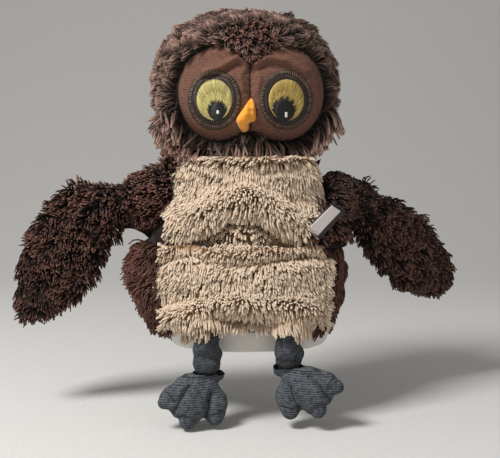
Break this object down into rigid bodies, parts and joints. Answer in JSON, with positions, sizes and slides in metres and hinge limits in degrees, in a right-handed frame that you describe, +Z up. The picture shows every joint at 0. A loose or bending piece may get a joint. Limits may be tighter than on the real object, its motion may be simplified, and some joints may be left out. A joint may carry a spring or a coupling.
{
  "type": "owl hand puppet",
  "caption": "Plush owl glove puppet with a stuffed head, embroidered eyes, folding wings and hanging knit feet, worn over a hand from below.",
  "frame": {"origin": "centre of the glove's opening, level with the hem's lower edge", "axes": "+Z up through the glove to the head, -Y the way the owl faces, +X towards the owl's own left wing"},
  "size_m": [0.3555, 0.1576, 0.3031],
  "materials": {
    "plush_cream": "long noodle pile, matte",
    "plush_body_brown": "shaggy pile, matte",
    "cloth_gusset_dark": "smooth woven cloth, matte",
    "cotton_lining": "plain cotton weave, matte",
    "fibrefill": "loose polyester fibre, matte",
    "plush_head_brown": "fine shaggy pile, matte",
    "suede_face_brown": "brushed short-nap cloth, matte",
    "thread_dark_brown": "embroidered stitches, soft sheen",
    "thread_yellow_green": "satin stitch, soft sheen",
    "thread_black": "satin stitch, soft sheen",
    "thread_white": "satin stitch, soft sheen",
    "suede_orange": "short-nap suede cloth, matte",
    "plush_wing_brown": "long stringy pile, matte",
    "knit_grey": "heathered knit, matte",
    "satin_dark": "woven satin, soft sheen",
    "paper_blank": "plain paper, matte"
  },
  "bodies": {
    "glove": {"belly_panel": "plush_cream", "back_lower_left": "plush_body_brown", "back_lower_right": "plush_body_brown", "hem_band": "cotton_lining", "lining_skirt": "cotton_lining"},
    "torso": {"chest_panel": "plush_cream", "side_gusset_left": "cloth_gusset_dark", "side_gusset_right": "cloth_gusset_dark", "back_upper_left": "plush_body_brown", "back_upper_right": "plush_body_brown", "glove_lining": "cotton_lining"},
    "neck": {"head_finger_stall": "cotton_lining"},
    "head": {"head_stuffing": "fibrefill", "neck_collar": "plush_head_brown", "head_cover_front": "plush_head_brown", "head_cover_back": "plush_head_brown", "face_left": "suede_face_brown", "face_right": "suede_face_brown", "eye_ring_left": "thread_dark_brown", "eye_ring_right": "thread_dark_brown", "iris_left": "thread_yellow_green", "iris_right": "thread_yellow_green", "pupil_left": "thread_black", "pupil_right": "thread_black", "glint_left": "thread_white", "glint_right": "thread_white", "beak": "suede_orange"},
    "label": {"sewn_label": "satin_dark", "label_sticker": "paper_blank"},
    "left_sleeve": {"wing_sleeve_left": "plush_wing_brown", "wing_finger_stall_left": "cotton_lining"},
    "left_wing": {"wing_front_left": "plush_wing_brown", "wing_back_left": "plush_wing_brown"},
    "left_wing_tip": {"wing_tip_front_left": "plush_wing_brown", "wing_tip_back_left": "plush_wing_brown"},
    "left_leg": {"leg_left": "knit_grey"},
    "left_foot": {"foot_upper_left": "knit_grey", "foot_sole_left": "knit_grey"},
    "right_sleeve": {"wing_sleeve_right": "plush_wing_brown", "wing_finger_stall_right": "cotton_lining"},
    "right_wing": {"wing_front_right": "plush_wing_brown", "wing_back_right": "plush_wing_brown"},
    "right_wing_tip": {"wing_tip_front_right": "plush_wing_brown", "wing_tip_back_right": "plush_wing_brown"},
    "right_leg": {"leg_right": "knit_grey"},
    "right_foot": {"foot_upper_right": "knit_grey", "foot_sole_right": "knit_grey"}
  },
  "joints": [
    {"name": "waist_fold", "type": "hinge", "parent": "glove", "child": "torso", "pos_m": [0, -0.03818, 0.08], "axis": [1, 0, 0], "range_deg": [0, 16]},
    {"name": "head_nod", "type": "hinge", "parent": "torso", "child": "neck", "pos_m": [0, 0, 0.15], "axis": [1, 0, 0], "range_deg": [-20, 20]},
    {"name": "head_turn", "type": "hinge", "parent": "neck", "child": "head", "pos_m": [0, 0, 0.15], "axis": [0, 0, 1], "range_deg": [-45, 45]},
    {"name": "wing_left_sweep", "type": "hinge", "parent": "torso", "child": "left_sleeve", "pos_m": [0.06765, 0, 0.115], "axis": [-0.1368, -0.1069, -0.9848], "range_deg": [-12, 72]},
    {"name": "wing_left_flap", "type": "hinge", "parent": "left_sleeve", "child": "left_wing", "pos_m": [0.08395, 0.01273, 0.11135], "axis": [0.6157, -0.788, 0], "range_deg": [-6, 50]},
    {"name": "wing_left_fold", "type": "hinge", "parent": "left_wing", "child": "left_wing_tip", "pos_m": [0.10844, 0.03187, 0.08618], "axis": [-0.4632, -0.3619, -0.809], "range_deg": [-40, 45]},
    {"name": "wing_right_sweep", "type": "hinge", "parent": "torso", "child": "right_sleeve", "pos_m": [-0.06765, 0, 0.115], "axis": [-0.1736, 0, 0.9848], "range_deg": [-36, 46]},
    {"name": "wing_right_flap", "type": "hinge", "parent": "right_sleeve", "child": "right_wing", "pos_m": [-0.08833, 0, 0.11135], "axis": [0, 1, 0], "range_deg": [-6, 50]},
    {"name": "wing_right_fold", "type": "hinge", "parent": "right_wing", "child": "right_wing_tip", "pos_m": [-0.12371, 0, 0.10054], "axis": [-0.6088, 0, 0.7934], "range_deg": [-40, 45]},
    {"name": "label_flip", "type": "hinge", "parent": "torso", "child": "label", "pos_m": [0.04644, -0.03812, 0.088], "axis": [0.7562, 0.3471, -0.5547], "range_deg": [-25, 70]},
    {"name": "leg_left_swing", "type": "hinge", "parent": "glove", "child": "left_leg", "pos_m": [0.03, -0.04703, 0.016], "axis": [-1, 0, 0], "range_deg": [0, 60]},
    {"name": "foot_left_flex", "type": "hinge", "parent": "left_leg", "child": "left_foot", "pos_m": [0.03, -0.04703, -0.001], "axis": [-1, 0, 0], "range_deg": [0, 40]},
    {"name": "leg_right_swing", "type": "hinge", "parent": "glove", "child": "right_leg", "pos_m": [-0.03, -0.04703, 0.016], "axis": [-1, 0, 0], "range_deg": [0, 60]},
    {"name": "foot_right_flex", "type": "hinge", "parent": "right_leg", "child": "right_foot", "pos_m": [-0.03, -0.04703, -0.006], "axis": [-1, 0, 0], "range_deg": [0, 40]}
  ]
}
